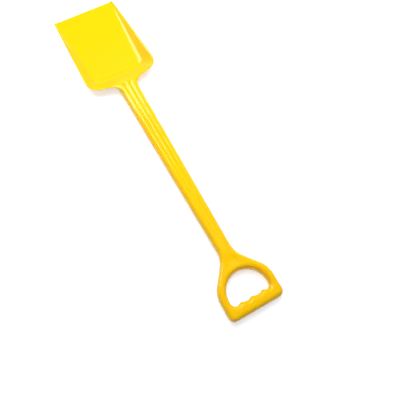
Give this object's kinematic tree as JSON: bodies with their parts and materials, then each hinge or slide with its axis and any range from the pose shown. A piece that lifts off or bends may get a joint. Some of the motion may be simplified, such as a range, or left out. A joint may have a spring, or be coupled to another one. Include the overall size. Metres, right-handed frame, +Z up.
{
  "type": "sand shovel",
  "caption": "Child's sand shovel with an open scoop blade, low sloping side walls, a long fluted shaft and a closed D-grip with finger bumps, in glossy plastic.",
  "frame": {"origin": "middle of the shovel's length and width, on the surface it lies on", "axes": "+X across the blade, +Y along the shovel from the grip to the blade's front edge, +Z up out of the open scoop"},
  "size_m": [0.124, 0.6, 0.021],
  "materials": {
    "yellow_plastic": "gloss, moulded in one colour"
  },
  "bodies": {
    "root": {"front_moulding": "yellow_plastic", "back_cover": "yellow_plastic"}
  },
  "joints": []
}
